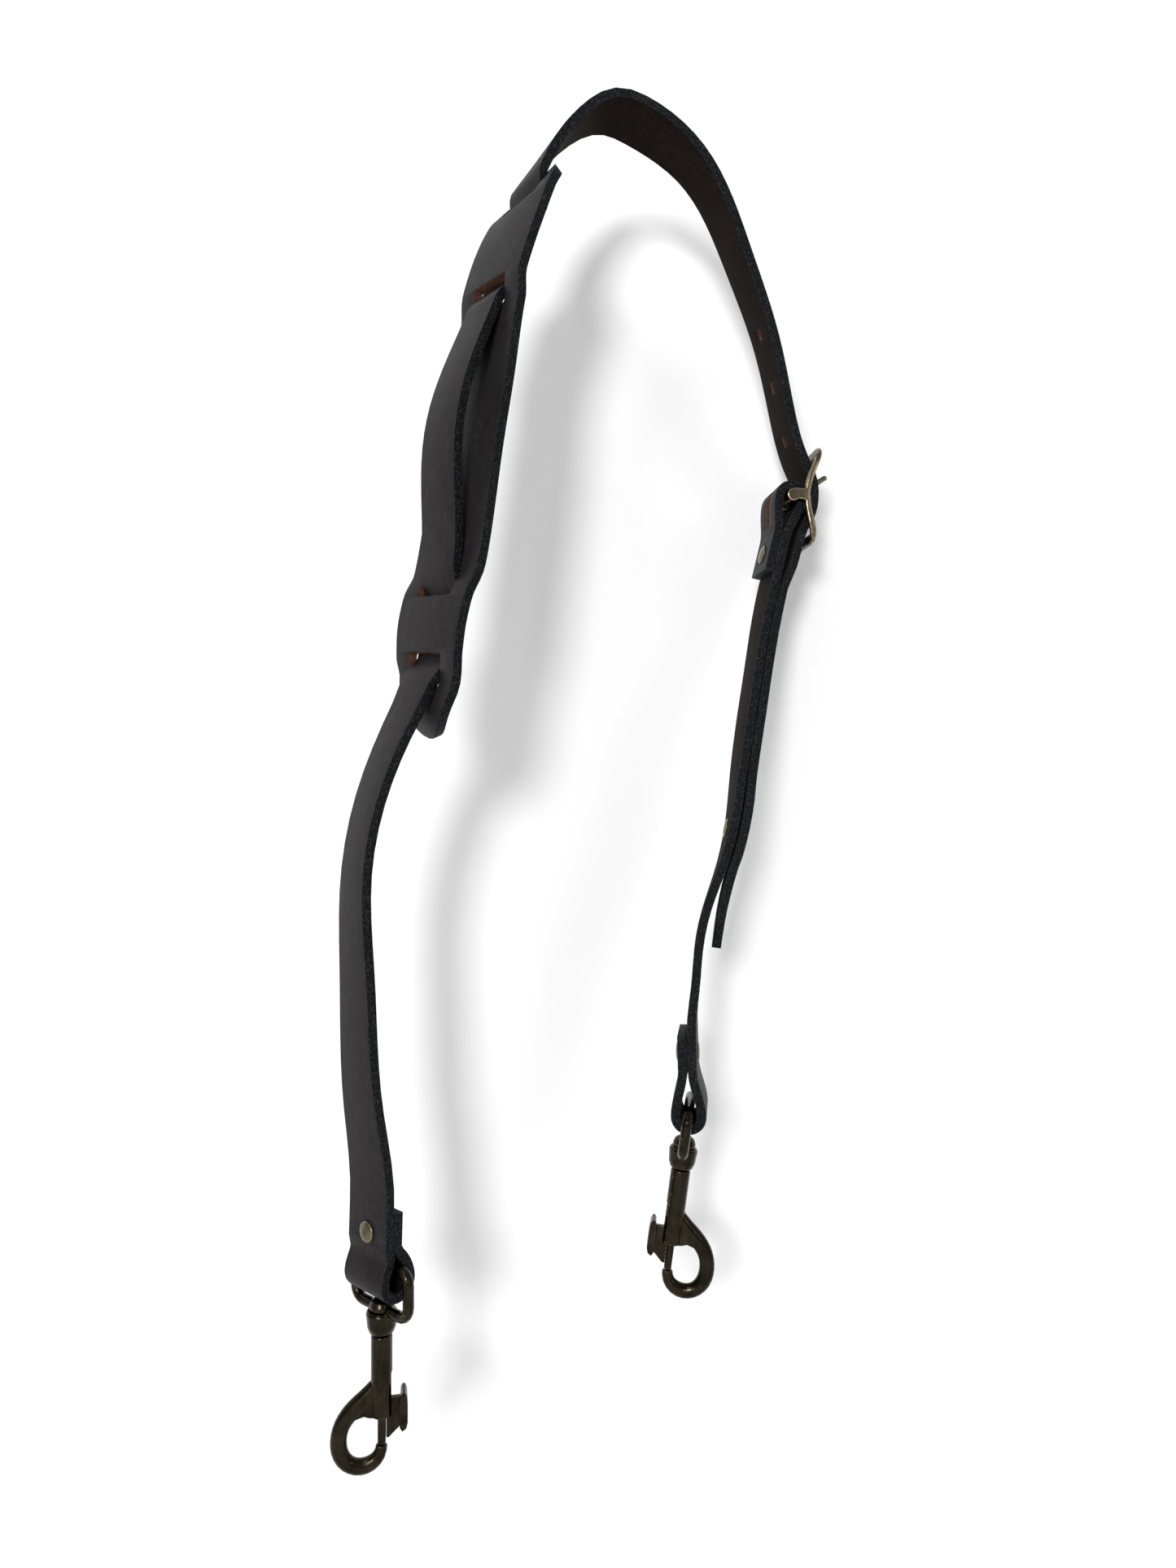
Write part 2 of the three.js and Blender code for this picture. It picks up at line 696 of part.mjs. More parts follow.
function hookStrapSlits() {
  const width = prong.width + 2 * slit.sideGap;
  const over = buckleFold.drop + 1;
  const reach = 2 * buckleFold.loopWidth;
  const upper = squareTool(
    hookStrapFrame,
    [reach, over + slit.prongSide, width],
    [0, (slit.prongSide - over) / 2, 0],
  );
  const lower = squareTool(hookStrapFrame, [reach / 2, slit.below, width], [-reach / 4, slit.below / 2, 0]);
  return [upper, lower];
}

function addHookStrap() {
  const row = [
    ...foldRow(hookStrapFrame, buckleFold, 1),
    ...offsetRow(hookRoute, stationsBetween(0, hookRoute.length, 5).slice(1, -1), () => 0),
    ...foldRow(rightFrame, rightFold, -1).reverse(),
  ];
  const body = solid(strip(framesThrough(row), () => strap.width));
  const buckleRivet = foldRivet(hookStrapFrame, buckleFold, 1);
  const eyeRivet = foldRivet(rightFrame, rightFold, -1);
  const loose = hookRoute.frame(hookRoute.atHeight(looseRivetHeight));
  const rivetHoles = [buckleRivet, eyeRivet, loose].map(rivetHole);
  add("hook_strap", geometryOf(cut(body, ...rivetHoles, ...hookStrapSlits())), grain);
  addRivet("buckle_fold_rivet", flipped(buckleRivet), doubledFace);
  addRivet("right_fold_rivet", eyeRivet, doubledFace);
  addRivet("hook_strap_rivet", flipped(loose), leather.thickness / 2);
}

// ---- Rings and rods ----

// Points round a rounded rectangle about the origin, each as [x, y, outward x, outward y], not over step apart.
function roundedLoop(halfX, halfY, radius, step) {
  const loop = [];
  const corners = [[1, 1], [-1, 1], [-1, -1], [1, -1]];
  corners.forEach(([sx, sy], quarter) => {
    for (const turn of stationsBetween(0, Math.PI / 2, Math.PI / 10)) {
      const angle = turn + (quarter * Math.PI) / 2;
      const [nx, ny] = [Math.cos(angle), Math.sin(angle)];
      loop.push([sx * (halfX - radius) + radius * nx, sy * (halfY - radius) + radius * ny, nx, ny]);
    }
    const from = loop.at(-1);
    const [tx, ty] = [-from[3], from[2]];
    const length = 2 * (quarter % 2 === 0 ? halfX - radius : halfY - radius);
    for (const run of stationsBetween(0, length, step).slice(1, -1)) {
      loop.push([from[0] + tx * run, from[1] + ty * run, from[2], from[3]]);
    }
  });
  return loop;
}

// The section of a rod as [across, up] pairs: an ellipse, or squarer as the power falls.
function section(halfAcross, halfUp, sides, power = 1) {
  const bent = (v) => Math.sign(v) * Math.abs(v) ** power;
  return Array.from({ length: sides }, (_, i) => {
    const angle = (2 * Math.PI * i) / sides;
    return [halfAcross * bent(Math.cos(angle)), halfUp * bent(Math.sin(angle))];
  });
}

// ---- The buckle ----

const railHalf = strap.width / 2 + buckle.sideGap + buckle.railWidth / 2;
const halfHeight = (buckle.height - buckle.endBarHeight) / 2;

// 0 at the waist of the frame and 1 at its ends.
function towardsEnd(down) {
  return Math.min(Math.abs(down + buckle.lift) / halfHeight, 1);
}

function dish(down) {
  return buckle.waistOut + (buckle.endOut - buckle.waistOut) * towardsEnd(down) ** 1.6;
}

function frameRing() {
  const loop = roundedLoop(railHalf, halfHeight, buckle.cornerRadius, 3);
  return loft(
    loop.map(([z, y, nz, ny]) => {
      const down = y - buckle.lift;
      const across = buckle.railWidth + (buckle.endBarHeight - buckle.railWidth) * ny ** 2;
      const rail = buckle.waistDepth + (buckle.railDepth - buckle.waistDepth) * towardsEnd(down);
      const deep = rail + (buckle.endBarDepth - rail) * ny ** 2;
      return section(across / 2, deep / 2, 12, 0.6).map(([a, b]) => {
        return vector(dish(down) + b, down + ny * a, z + nz * a);
      });
    }),
    true,
  );
}

function ear(side) {
  const { earRadius, railWidth, lift } = buckle;
  const round = solid(cylinder(earRadius, -railWidth / 2, railWidth / 2).rotateX(Math.PI / 2));
  const reach = dish(0);
  const arm = solid(new THREE.BoxGeometry(reach, 1.7 * earRadius, railWidth).translate(reach / 2, -lift / 3, 0));
  return union(round, arm).translate([0, 0, side * railHalf]);
}

function addBuckle() {
  const bar = solid(cylinder(buckle.barRadius, -railHalf, railHalf).rotateX(Math.PI / 2));
  const frame = union(solid(frameRing()), bar, ear(1), ear(-1));
  add("buckle_frame", geometryOf(frame), brass, matrixOf(buckleFrame));
  addProng();
}

function addProng() {
  const bore = buckle.barRadius + prong.boreGap;
  const outer = bore + prong.wall;
  const half = prong.width / 2;
  const ring = solid(cylinder(outer, -half, half).rotateX(Math.PI / 2));
  const start = (bore + outer) / 2;
  const shaft = turned([
    [0, start],
    [prong.rootRadius, start],
    [(prong.rootRadius + prong.tipRadius) / 2, (start + prong.length) / 2],
    [prong.tipRadius, prong.length - prong.tipRadius / 2],
    [prong.tipRadius * 0.6, prong.length],
    [0, prong.length],
  ]);
  const raise = THREE.MathUtils.degToRad(prong.angle);
  const body = union(ring, solid(shaft.rotateZ(-Math.PI / 2 - raise)));
  const eyeHole = solid(cylinder(bore, -prong.width, prong.width).rotateX(Math.PI / 2));
  add("buckle_prong", geometryOf(cut(body, eyeHole)), brass, matrixOf(buckleFrame));
}

// ---- The snap hook, with x towards its thumb tab and y down ----

const barrelTop = collar.bottom + barrel.topGap;
const springTop = barrelTop + post.socket + barrel.wall;
const neckTop = barrel.end - barrel.neckLength;

function eyeGeometry() {
  const half = strap.width / 2 + eye.sideGap + eye.rodRadius;
  const loop = roundedLoop(half, eye.height / 2, eye.corner, Infinity);
  const ring = loft(
    loop.map(([z, y, nz, ny]) => {
      return section(eye.rodRadius, eye.rodRadius, 12).map(([a, b]) => {
        return vector(b, eye.height / 2 + y + ny * a, z + nz * a);
      });
    }),
    true,
  );
  const foot = turned([
    [0, collar.top],
    [collar.topRadius, collar.top],
    [collar.radius, collar.top + 0.9],
    [collar.radius - 0.4, collar.bottom - 1.9],
    [collar.footRadius, collar.bottom],
    [0, collar.bottom],
  ]);
  const headRoom = cylinder(post.headRadius + post.endGap, collar.top - post.headHeight, collar.top);
  const bore = cylinder(post.radius + post.gap, 0.6 * eye.height, collar.bottom + 1);
  return geometryOf(cut(union(cut(solid(ring), solid(headRoom)), solid(foot)), solid(bore)));
}

function postGeometry() {
  const seat = collar.top - post.endGap;
  const top = seat - post.headHeight;
  const end = barrelTop + post.socket - post.endGap;
  return turned([
    [0, top],
    [post.headRadius * 0.5, top + 0.3],
    [post.headRadius * 0.85, top + 1.3],
    [post.headRadius, top + 2.8],
    [post.headRadius, seat],
    [post.radius, seat],
    [post.radius, end],
    [0, end],
  ]);
}

function jawSolid() {
  const line = new Line(jawLine, [0, 1]);
  const stations = stationsBetween(0, line.length, 1.7);
  const rings = stations.map((s) => {
    const [x, y, half] = line.at(s);
    const [ahead, behind] = [line.at(s + 0.05), line.at(s - 0.05)];
    const normal = vector(behind[1] - ahead[1], ahead[0] - behind[0], 0).normalize();
    return section(half, half * jaw.flatten, 14).map(([a, b]) => {
      return vector(x + normal.x * a, y + normal.y * a, b);
    });
  });
  return union(solid(loft(rings)), plate(jawWeb, jaw.webThickness));
}

function hookBodyGeometry() {
  const { radius, end, chamfer, neckRadius } = barrel;
  const tube = turned([
    [0, barrelTop],
    [radius - chamfer, barrelTop],
    [radius, barrelTop + chamfer],
    [radius, end - chamfer],
    [radius - chamfer, end],
    [0, end],
  ]);
  const slotTop = tabWeb[0][1] - bolt.travel - tab.gap;
  const slotLength = end + 1 - slotTop;
  const slotWidth = tab.webThickness + 2 * tab.gap;
  const slot = new THREE.BoxGeometry(2 * radius, slotLength, slotWidth);
  return geometryOf(
    cut(
      union(solid(tube), jawSolid()),
      solid(cylinder(post.radius + post.gap, barrelTop - 1, barrelTop + post.socket)),
      solid(cylinder(bolt.radius + bolt.gap, springTop, neckTop)),
      solid(cylinder(neckRadius, neckTop - 0.5, end + 0.2)),
      solid(slot.translate(radius, slotTop + slotLength / 2, 0)),
    ),
  );
}

function boltGeometry() {
  const shoulderAt = neckTop - bolt.gap;
  return turned([
    [0, bolt.top],
    [bolt.radius, bolt.top],
    [bolt.radius, shoulderAt],
    [bolt.pinRadius, shoulderAt],
    [bolt.pinRadius, bolt.end - 0.4],
    [bolt.pinRadius - 0.4, bolt.end],
    [0, bolt.end],
  ]);
}

function tabGeometry() {
  const body = union(plate(tabWeb, tab.webThickness), plate(tabFlange, 2 * tab.flangeHalf));
  const head = cylinder(bolt.radius + tab.gap, bolt.top, neckTop);
  const pin = cylinder(bolt.pinRadius + tab.gap, bolt.top, bolt.end);
  return geometryOf(cut(body, solid(head), solid(pin)));
}

function springGeometry() {
  const { coilRadius, wireRadius, coils, endGap } = spring;
  const top = springTop + endGap + wireRadius;
  const bottom = bolt.top - endGap - wireRadius;
  const steps = coils * 12;
  const rings = Array.from({ length: steps + 1 }, (_, i) => {
    const angle = (2 * Math.PI * i) / 12;
    const y = top + ((bottom - top) * i) / steps;
    return section(wireRadius, wireRadius, 6).map(([a, b]) => {
      return vector((coilRadius + a) * Math.cos(angle), y + b, (coilRadius + a) * Math.sin(angle));
    });
  });
  return loft(rings);
}

function addHook(side, { bar, eyeTurn, turn, lean }) {
  const down = leanDown(lean);
  const eyeMatrix = matrixOf(frameAt(vector(...bar), widthAt(eyeTurn, 0), down));
  const bodyMatrix = matrixOf(frameAt(vector(...bar), widthAt(turn, 0), down));
  add(side + "_eye", eyeGeometry(), antiqueBrass, eyeMatrix);
  add(side + "_swivel_post", postGeometry(), antiqueBrass, bodyMatrix);
  add(side + "_hook_body", hookBodyGeometry(), antiqueBrass, bodyMatrix);
  add(side + "_spring", springGeometry(), steel, bodyMatrix);
  add(side + "_bolt", boltGeometry(), antiqueBrass, bodyMatrix);
  add(side + "_thumb_tab", tabGeometry(), antiqueBrass, bodyMatrix);
}

addMainStrap();
addPad();
addBuckle();
addHookStrap();
addHook("left", leftHook);
addHook("right", rightHook);

export default object;
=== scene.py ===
# A leather instrument strap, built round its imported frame. Lengths are in metres, +Z is up, and the crest of
# the strap hangs at the origin. Sections follow the order in which the strap is put together.
import math

import bmesh
import bpy
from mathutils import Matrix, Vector


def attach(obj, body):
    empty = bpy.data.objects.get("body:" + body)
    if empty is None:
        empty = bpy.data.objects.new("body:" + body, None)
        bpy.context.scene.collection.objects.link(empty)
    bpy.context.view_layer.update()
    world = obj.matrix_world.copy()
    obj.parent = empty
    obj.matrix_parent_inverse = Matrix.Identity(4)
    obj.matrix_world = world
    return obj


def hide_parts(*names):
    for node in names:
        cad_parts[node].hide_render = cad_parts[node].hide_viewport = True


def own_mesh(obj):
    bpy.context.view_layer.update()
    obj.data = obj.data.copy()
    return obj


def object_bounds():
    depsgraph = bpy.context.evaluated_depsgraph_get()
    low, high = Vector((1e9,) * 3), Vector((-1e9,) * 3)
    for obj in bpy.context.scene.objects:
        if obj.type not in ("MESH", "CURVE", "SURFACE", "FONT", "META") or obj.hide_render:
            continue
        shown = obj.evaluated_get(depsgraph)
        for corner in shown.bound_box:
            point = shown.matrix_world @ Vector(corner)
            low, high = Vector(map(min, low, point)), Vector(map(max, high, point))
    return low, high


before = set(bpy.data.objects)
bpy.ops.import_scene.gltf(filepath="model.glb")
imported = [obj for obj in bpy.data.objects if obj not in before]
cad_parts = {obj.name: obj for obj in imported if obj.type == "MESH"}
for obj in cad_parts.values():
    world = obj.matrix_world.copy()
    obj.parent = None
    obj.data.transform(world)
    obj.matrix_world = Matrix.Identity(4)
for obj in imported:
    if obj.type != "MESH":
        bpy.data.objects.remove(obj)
cad_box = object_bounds()
bpy.ops.object.select_all(action="DESELECT")
MM = 0.001


# ---- Main strap ----
# One long strip of thick oiled leather, dyed through and burnished on its cut edges. It is folded round the left
# hook's eye, woven through the pad, taken over the shoulder and through the buckle, and ends in a free tail.

BEND_LIMIT = math.radians(40)  # faces that meet at less than this belong to one smooth patch
WELD = 0.01 * MM
GRAIN, FLESH, EDGE, RAW, CREASE = range(5)


class Wire:
    """The output of a shader node. Sums and products of wires add Math nodes."""

    def __init__(self, tree, socket):
        self.tree = tree
        self.socket = socket

    def node(self, kind, inputs, output=0, stops=None, **settings):
        made = self.tree.nodes.new("ShaderNode" + kind)
        for key, value in settings.items():
            setattr(made, key, value)
        if stops:
            ramp = made.color_ramp
            while len(ramp.elements) < len(stops):
                ramp.elements.new(0.5)
            for element, (place, level) in zip(ramp.elements, stops):
                element.position = place
                element.color = (level, level, level, 1)
        for key, value in inputs.items():
            if isinstance(value, Wire):
                self.tree.links.new(value.socket, made.inputs[key])
            else:
                made.inputs[key].default_value = value
        return Wire(self.tree, made.outputs[output])

    def maths(self, operation, first, second):
        return self.node("Math", {0: first, 1: second}, operation=operation)

    def __add__(self, other):
        return self.maths("ADD", self, other)

    __radd__ = __add__

    def __mul__(self, other):
        return self.maths("MULTIPLY", self, other)

    __rmul__ = __mul__

    def __sub__(self, other):
        return self.maths("SUBTRACT", self, other)

    def __rsub__(self, other):
        return self.maths("SUBTRACT", other, self)


def noise(place, size, detail=3.0, roughness=0.55):
    """Cloudy variation, 0 to 1, with features of this size."""
    return place.node("TexNoise", {"Vector": place, "Scale": 1 / size, "Detail": detail,
                                   "Roughness": roughness})


def cells(place, size, feature="F1"):
    """The distance to the nearest of scattered points that lie this far apart."""
    return place.node("TexVoronoi", {"Vector": place, "Scale": 1 / size}, feature=feature)


def stretched(place, scale, turn=(0, 0, 0)):
    return place.node("Mapping", {"Vector": place, "Scale": scale, "Rotation": turn})


def levels(value, low, high):
    """0 below low, 1 above high, and straight between."""
    return value.node("ValToRGB", {0: value}, stops=[(low, 0), (high, 1)])


def blended(share, first, second):
    return share.node("Mix", {0: share, 6: (*first, 1) if isinstance(first, tuple) else first,
                              7: (*second, 1) if isinstance(second, tuple) else second}, output=2, data_type="RGBA")


def finish_of(name, **constants):
    """A new material, with where its surface lies and a function that joins a wire to its shader."""
    material = bpy.data.materials.new(name)
    material.use_nodes = True
    tree = material.node_tree
    shader = tree.nodes["Principled BSDF"]
    for key, value in constants.items():
        shader.inputs[key.replace("_", " ")].default_value = value
    coordinates = tree.nodes.new("ShaderNodeTexCoord")

    def join(key, wire):
        tree.links.new(wire.socket, shader.inputs[key])

    return material, Wire(tree, coordinates.outputs["Object"]), join


def raised(height, strength, depth):
    return height.node("Bump", {"Height": height, "Strength": strength, "Distance": depth})


def grain_leather():
    """Smooth oiled grain side: nearly black brown and finely pebbled, with cloudy pull-up and rubbed scratches."""
    material, place, join = finish_of("grain_leather", Specular_IOR_Level=0.17)
    cloud = noise(place, 16 * MM, 4)
    patch = noise(place, 3.5 * MM, 4, 0.6)
    pores = cells(place, 0.9 * MM)
    pebble = cells(place, 1.3 * MM, "SMOOTH_F1")
    crease = noise(stretched(place, (1, 1, 0.35), (0.3, 0.5, 0.2)), 2.2 * MM, 5, 0.65)
    rubbed = levels(noise(stretched(place, (1, 1, 0.1), (0.5, 0.3, 0.7)), 1.5 * MM, 2), 0.70, 0.76)
    colour = blended(levels(cloud, 0.3, 0.72), (0.0052, 0.0043, 0.0046), (0.0130, 0.0108, 0.0112))
    colour = blended(levels(patch, 0.35, 0.7) * 0.55, colour, (0.0190, 0.0158, 0.0160))
    colour = blended(levels(pores, 0.05, 0.34) * 0.65 + 0.35, (0.0018, 0.0015, 0.0017), colour)
    colour = blended(rubbed * 0.4, colour, (0.085, 0.072, 0.068))
    join("Base Color", colour)
    join("Roughness", 0.44 + cloud * 0.18 + crease * 0.1)
    join("Normal", raised(pebble * 0.6 + crease * 0.7 + levels(pores, 0.0, 0.3) * 0.3, 0.5, 0.2 * MM))
    return material


def flesh_leather():
    """The napped inner side of the hide, dyed dark brown."""
    material, place, join = finish_of("flesh_leather", Specular_IOR_Level=0.08, Sheen_Weight=0.02,
                                      Sheen_Roughness=0.4, Sheen_Tint=(0.55, 0.42, 0.34, 1))
    cloud = noise(place, 10 * MM, 4)
    nap = noise(place, 0.9 * MM, 4, 0.7)
    fibre = noise(stretched(place, (1, 1, 0.35)), 1.4 * MM, 4, 0.6)
    colour = blended(levels(cloud, 0.3, 0.7), (0.0076, 0.0046, 0.0034), (0.0160, 0.0100, 0.0074))
    colour = blended(levels(nap, 0.36, 0.62), (0.0026, 0.0017, 0.0013), colour)
    join("Base Color", colour)
    join("Roughness", 0.82 + cloud * 0.12)
    join("Normal", raised(nap * 0.7 + fibre * 0.6, 0.7, 0.3 * MM))
    return material


def edge_leather():
    """Cut edges, dyed blue-black and burnished over open fibres that catch the light as specks."""
    material, place, join = finish_of("edge_leather", Specular_IOR_Level=0.12)
    fibre = noise(place, 1.1 * MM, 4, 0.7)
    specks = levels(noise(place, 0.7 * MM, 3, 0.65), 0.50, 0.62)
    cloud = noise(place, 6 * MM, 3)
    colour = blended(levels(fibre, 0.38, 0.66), (0.0006, 0.0007, 0.0011), (0.0040, 0.0047, 0.0064))
    colour = blended(specks * (0.15 + cloud * 0.75), colour, (0.040, 0.046, 0.057))
    join("Base Color", colour)
    join("Roughness", 0.5 + fibre * 0.3)
    join("Normal", raised(fibre * 0.8 + specks * 0.5, 0.8, 0.35 * MM))
    return material


def crease_leather():
    """The thin line where an edge meets a face, rubbed pale by the slicker."""
    material, place, join = finish_of("crease_leather", Specular_IOR_Level=0.35)
    broken = noise(place, 2.2 * MM, 4, 0.65)
    colour = blended(levels(broken, 0.38, 0.62), (0.0050, 0.0052, 0.0068), (0.060, 0.064, 0.074))
    join("Base Color", colour)
    join("Roughness", 0.42 + broken * 0.2)
    join("Normal", raised(broken, 0.3, 0.15 * MM))
    return material


def raw_leather():
    """Punched walls that the dye never reached: warm tan fibre."""
    material, place, join = finish_of("raw_leather", Specular_IOR_Level=0.2)
    fibre = noise(stretched(place, (1, 1, 0.5)), 0.8 * MM, 5, 0.7)
    stain = noise(place, 3 * MM, 3)
    colour = blended(levels(fibre, 0.32, 0.7), (0.050, 0.021, 0.012), (0.150, 0.072, 0.042))
    colour = blended(levels(stain, 0.35, 0.75) * 0.5, colour, (0.02, 0.011, 0.008))
    join("Base Color", colour)
    join("Roughness", 0.75 + fibre * 0.2)
    join("Normal", raised(fibre, 0.7, 0.3 * MM))
    return material


LEATHER = [grain_leather(), flesh_leather(), edge_leather(), raw_leather(), crease_leather()]


def merged_copy(node, name):
    """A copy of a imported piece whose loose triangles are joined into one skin."""
    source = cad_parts[node]
    piece = bpy.data.objects.new(name, source.data.copy())
    bpy.context.scene.collection.objects.link(piece)
    piece.data.materials.clear()
    bpy.ops.object.select_all(action="DESELECT")
    bpy.context.view_layer.objects.active = piece
    piece.select_set(True)
    bpy.ops.object.mode_set(mode="EDIT")
    bpy.ops.mesh.select_all(action="SELECT")
    bpy.ops.mesh.remove_doubles(threshold=WELD)
    bpy.ops.object.mode_set(mode="OBJECT")
    return piece


def smooth_patches(shape):
    """Groups of faces that meet without a sharp edge, the largest first."""
    left = set(shape.faces)
    patches = []
    while left:
        patch = [left.pop()]
        for face in patch:
            for edge in face.edges:
                for other in edge.link_faces:
                    if other in left and edge.calc_face_angle(0) < BEND_LIMIT:
                        left.discard(other)
                        patch.append(other)
        patches.append(patch)
    return sorted(patches, key=lambda patch: -sum(face.calc_area() for face in patch))


def touching_groups(patches):
    """Patches joined into groups that share a corner."""
    groups = []
    for patch in patches:
        corners = {corner for face in patch for corner in face.verts}
        joined = [group for group in groups if group[1] & corners]
        for group in joined:
            groups.remove(group)
        faces = [face for group in joined for face in group[0]] + patch
        groups.append((faces, corners.union(*(group[1] for group in joined))))
    return sorted((group[0] for group in groups), key=lambda faces: -sum(face.calc_area() for face in faces))


def sort_leather_faces(piece, grain_side=None):
    """Marks each face as grain, flesh, cut edge or punched wall.
    The two largest patches are the faces of the hide, and the largest group of the others is its outline."""
    shape = bmesh.new()
    shape.from_mesh(piece.data)
    patches = smooth_patches(shape)
    faces = patches[:2]
    if grain_side:
        faces.sort(key=lambda patch: -sum(face.normal.dot(grain_side) * face.calc_area() for face in patch))
    walls = touching_groups(patches[2:])
    for finish, patch in [(GRAIN, faces[0]), (FLESH, faces[1]), (EDGE, walls[0])]:
        for face in patch:
            face.material_index = finish
    for wall in walls[1:]:
        for face in wall:
            face.material_index = RAW
    shape.to_mesh(piece.data)
    shape.free()


def apply_modifier(piece, kind, **settings):
    bpy.context.view_layer.objects.active = piece
    modifier = piece.modifiers.new(kind.lower(), kind)
    for key, value in settings.items():
        setattr(modifier, key, value)
    bpy.ops.object.modifier_apply(modifier=modifier.name)


def leather_piece(node, name, body, crease_width, grain_side=None):
    piece = merged_copy(node, name)
    for material in LEATHER:
        piece.data.materials.append(material)
    sort_leather_faces(piece, grain_side)
    apply_modifier(piece, "BEVEL", width=crease_width, segments=3, limit_method="ANGLE",
                   angle_limit=BEND_LIMIT, material=CREASE, use_clamp_overlap=True)
    bpy.ops.object.shade_smooth_by_angle(angle=BEND_LIMIT)
    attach(piece, body)
    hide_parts(node)
    return piece


STRAP_CREASE = 0.4 * MM
leather_piece("main_strap", "woven_strap", "strap", STRAP_CREASE)


# ---- Shoulder pad ----
# A wider plate of the same hide with rounded ends, lying behind the strap. Its four cross slots are punched after
# dyeing, so their walls are raw tan, and the strap that runs through them holds it in place.

PAD_FRONT = Vector((-0.75, -0.63, 0.18))
leather_piece("shoulder_pad", "slotted_pad", "strap", 0.5 * MM, PAD_FRONT)


# ---- Hook strap ----
# A short strip of the same hide. It is folded round the buckle's centre bar at the top and round the right hook's
# eye at the bottom, and each fold is closed by a rivet.

leather_piece("hook_strap", "folded_strap", "hook_strap", STRAP_CREASE)


# ---- Buckle ----
# A centre-bar frame cast in brass, dished and waisted, with a wire prong looped on its bar. Both are antiqued, and
# the dark finish is rubbed back to gold on the high places.

def finished_metal(piece, node, body, material):
    piece.data.materials.clear()
    piece.data.materials.append(material)
    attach(piece, body)
    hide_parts(node)


def cast_piece(node, name, body, material, voxel, passes):
    """A packed metal piece with its edges softened as casting and tumbling leave them."""
    piece = merged_copy(node, name)
    apply_modifier(piece, "REMESH", mode="VOXEL", voxel_size=voxel)
    apply_modifier(piece, "SMOOTH", factor=0.5, iterations=passes)
    bpy.ops.object.shade_smooth()
    finished_metal(piece, node, body, material)


def antiqued_brass(name, dark, bright, wear, roughness):
    """Brass under a dark chemical patina that is cloudy, pitted, and rubbed back on its edges."""
    material, place, join = finish_of(name, Metallic=1.0)
    cloud = noise(place, 6 * MM, 4)
    pits = noise(place, 0.4 * MM, 3, 0.6)
    streak = noise(stretched(place, (1, 1, 0.2)), 1.5 * MM, 3)
    edge = place.node("NewGeometry", {}, output="Pointiness")
    rubbed = levels(edge, 0.5 + wear, 0.5 + 4 * wear)
    share = levels(cloud, 0.35, 0.75) * 0.45 + levels(streak, 0.45, 0.8) * 0.25
    colour = blended(share, dark, bright)
    colour = blended(rubbed * 0.7, colour, tuple(min(1.9 * c, 0.8) for c in bright))
    colour = blended(levels(pits, 0.30, 0.45), tuple(0.45 * c for c in dark), colour)
    join("Base Color", colour)
    join("Roughness", roughness + cloud * 0.12 - rubbed * 0.06)
    join("Normal", raised(cloud * 0.2 + pits * 0.5 + streak * 0.3, 0.12, 0.12 * MM))
    return material


BUCKLE_BRASS = antiqued_brass("buckle_brass", (0.075, 0.062, 0.042), (0.40, 0.335, 0.215), 0.010, 0.22)
cast_piece("buckle_frame", "buckle_casting", "buckle", BUCKLE_BRASS, 0.22 * MM, 4)
cast_piece("buckle_prong", "buckle_tongue", "prong", BUCKLE_BRASS, 0.18 * MM, 3)


# ---- Rivets ----
# Four two-piece cap rivets. Each cap carries a post that is set through both layers of leather into the back cap,
# which closes the fold for good.

RIVET_BRASS = antiqued_brass("rivet_brass", (0.050, 0.043, 0.025), (0.14, 0.12, 0.072), 0.010, 0.26)
DOME_SMOOTH = math.radians(65)
RIVET_BODIES = {"left_fold": "strap", "buckle_fold": "hook_strap", "right_fold": "hook_strap",
                "hook_strap": "hook_strap"}
for place_name, body in RIVET_BODIES.items():
    for half in ("cap", "base"):
        node = place_name + "_rivet_" + half
        piece = merged_copy(node, node + "_dome")
        apply_modifier(piece, "BEVEL", width=0.15 * MM, segments=3, limit_method="ANGLE", angle_limit=BEND_LIMIT)
        bpy.ops.object.shade_smooth_by_angle(angle=DOME_SMOOTH)
        finished_metal(piece, node, body, RIVET_BRASS)


# ---- Swivel bolt hooks ----
# Two cast hooks. The eye holds the strap's fold and the head of a swivel post, the barrel and the open hook are one
# casting on that post, and a sprung bolt with a thumb tab closes the hook's mouth.

HOOK_BRASS = antiqued_brass("hook_brass", (0.016, 0.0132, 0.0088), (0.062, 0.050, 0.033), 0.013, 0.18)
HOOK_PIECES = [
    ("eye", "eye", "eye_casting", 0.25, 5),
    ("swivel_post", "hook", "swivel_stud", 0.25, 2),
    ("hook_body", "hook", "hook_casting", 0.27, 4),
    ("bolt", "bolt", "bolt_rod", 0.2, 1),
    ("thumb_tab", "bolt", "thumb_casting", 0.2, 3),
]
for side in ("left", "right"):
    for node, body, name, voxel, passes in HOOK_PIECES:
        cast_piece(f"{side}_{node}", f"{side}_{name}", f"{side}_{body}", HOOK_BRASS, voxel * MM, passes)


# ---- Bolt springs ----
# A coil of spring steel wire behind each bolt, inside the barrel. The real coil shortens as the thumb tab draws the
# bolt back; this one keeps its shape and moves with the hook body.

def spring_wire():
    material, place, join = finish_of("spring_wire", Metallic=1.0)
    drawn = noise(stretched(place, (1, 1, 0.3)), 0.3 * MM, 3)
    join("Base Color", blended(drawn, (0.30, 0.30, 0.31), (0.46, 0.46, 0.47)))
    join("Roughness", 0.25 + drawn * 0.15)
    join("Normal", raised(drawn, 0.1, 0.05 * MM))
    return material


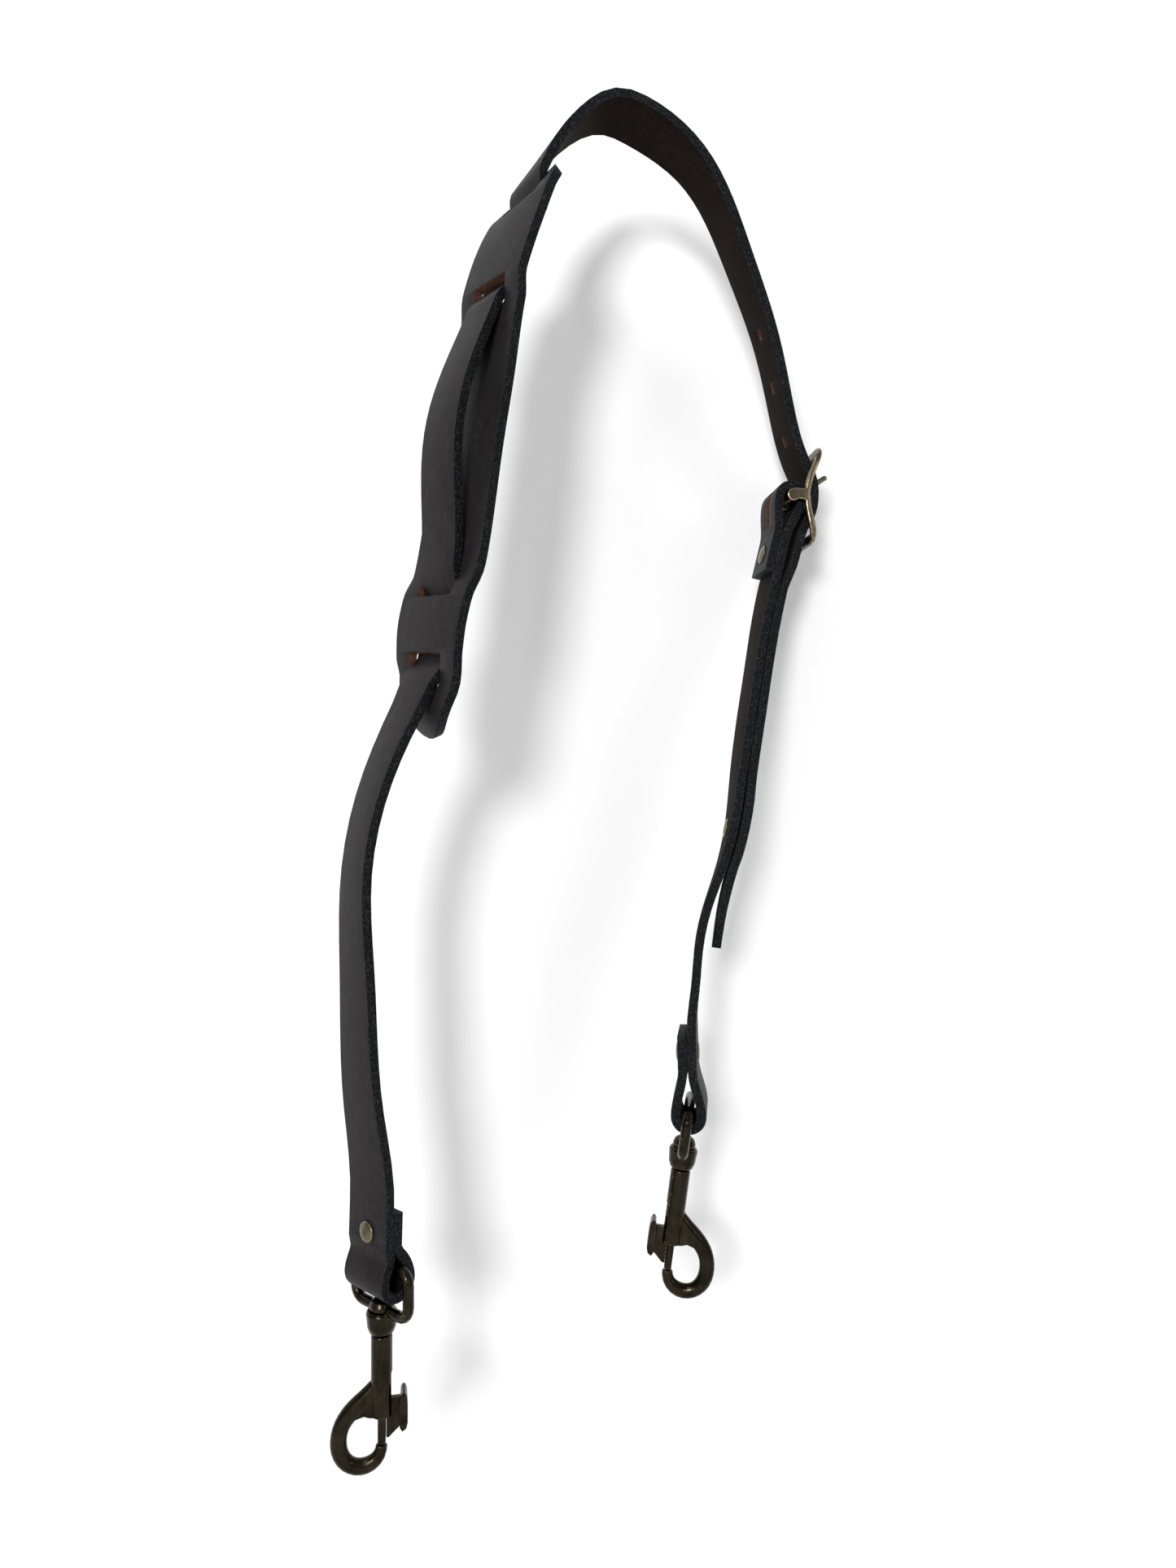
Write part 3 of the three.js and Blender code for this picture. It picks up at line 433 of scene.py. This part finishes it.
SPRING_STEEL = spring_wire()
for side in ("left", "right"):
    piece = merged_copy(f"{side}_spring", f"{side}_coil")
    bpy.ops.object.shade_smooth_by_angle(angle=BEND_LIMIT)
    piece.data.materials.append(SPRING_STEEL)
    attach(piece, f"{side}_hook")
    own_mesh(piece)
    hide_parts(f"{side}_spring")


# ---- Floor and backdrop ----
# A plain white sweep: a pale floor that curves up into a backdrop close behind the hanging strap, where soft
# shadows fall. Its back is clear.

WALL_Y = cad_box[1].y + 14 * MM
FLOOR_Z = cad_box[0].z - 150 * MM
SWEEP_RADIUS = 0.12
SWEEP_WIDTH = 8.0
SWEEP_STEPS = 24
FLOOR_DEPTH = 4.0
WALL_HEIGHT = 3.0
bpy.ops.mesh.primitive_plane_add(size=1, location=(0, 0, FLOOR_Z))
sweep = bpy.context.object
sweep.name = "studio_sweep"
bpy.ops.object.mode_set(mode="EDIT")
bpy.ops.mesh.select_all(action="SELECT")
bpy.ops.transform.resize(value=(SWEEP_WIDTH, FLOOR_DEPTH, 1))
bpy.ops.transform.translate(value=(0, WALL_Y - SWEEP_RADIUS - FLOOR_DEPTH / 2, 0))
bpy.ops.mesh.select_mode(type="EDGE")
bpy.ops.mesh.select_all(action="DESELECT")
bpy.ops.object.mode_set(mode="OBJECT")
back_y = max(corner.co.y for corner in sweep.data.vertices)
for edge in sweep.data.edges:
    edge.select = all(sweep.data.vertices[i].co.y > back_y - MM for i in edge.vertices)
bpy.ops.object.mode_set(mode="EDIT")
bpy.ops.mesh.spin(steps=SWEEP_STEPS, angle=-math.pi / 2, axis=(1, 0, 0),
                  center=(0, WALL_Y - SWEEP_RADIUS, FLOOR_Z + SWEEP_RADIUS))
bpy.ops.mesh.extrude_region_move(TRANSFORM_OT_translate={"value": (0, 0, WALL_HEIGHT)})
bpy.ops.object.mode_set(mode="OBJECT")
bpy.ops.object.transform_apply(location=True, rotation=True, scale=True)
bpy.ops.object.shade_smooth()


def white_sweep():
    material = bpy.data.materials.new("white_sweep")
    material.use_nodes = True
    tree = material.node_tree
    paper = tree.nodes["Principled BSDF"]
    paper.inputs["Base Color"].default_value = (0.9, 0.9, 0.9, 1)
    paper.inputs["Roughness"].default_value = 0.95
    paper.inputs["Specular IOR Level"].default_value = 0.0
    clear = tree.nodes.new("ShaderNodeBsdfTransparent")
    seen = tree.nodes.new("ShaderNodeNewGeometry")
    mix = tree.nodes.new("ShaderNodeMixShader")
    tree.links.new(seen.outputs["Backfacing"], mix.inputs[0])
    tree.links.new(paper.outputs[0], mix.inputs[1])
    tree.links.new(clear.outputs[0], mix.inputs[2])
    tree.links.new(mix.outputs[0], tree.nodes["Material Output"].inputs["Surface"])
    return material


sweep.data.materials.append(white_sweep())


# ---- Light and camera ----
# A large soft key high on the left, a lower fill on the right, and a bright plain room.

OBJECT_CENTRE = (cad_box[0] + cad_box[1]) / 2


def softbox(name, place, size, power):
    light = bpy.data.lights.new(name, "AREA")
    light.shape = "DISK"
    light.size = size
    light.energy = power
    lamp = bpy.data.objects.new(name, light)
    bpy.context.scene.collection.objects.link(lamp)
    lamp.location = place
    lamp.rotation_euler = (OBJECT_CENTRE - Vector(place)).to_track_quat("-Z", "Y").to_euler()


softbox("key_light", (-0.42, -1.7, 0.22), 0.42, 19)
softbox("fill_light", (1.2, -1.2, 0.1), 0.4, 2.5)
softbox("top_light", (-0.5, -0.9, 1.1), 0.3, 3.5)
world = bpy.data.worlds.new("bright_room")
bpy.context.scene.world = world
world.use_nodes = True
world.node_tree.nodes["Background"].inputs["Color"].default_value = (1, 1, 1, 1)
world.node_tree.nodes["Background"].inputs["Strength"].default_value = 0.42
bpy.context.scene.view_settings.view_transform = "Standard"

FOCAL_SHARE = 1270 / 1927  # of the frame's height
SENSOR = 36.0
camera_data = bpy.data.cameras.new("camera")
camera_data.sensor_width = SENSOR
camera_data.lens = SENSOR * FOCAL_SHARE
camera_data.clip_start = 0.01
camera_data.clip_end = 50
camera = bpy.data.objects.new("camera", camera_data)
bpy.context.scene.collection.objects.link(camera)
camera.location = (-0.008, -0.36924, -0.2384)
camera.rotation_euler = (math.pi / 2, 0, 0)
bpy.context.scene.camera = camera
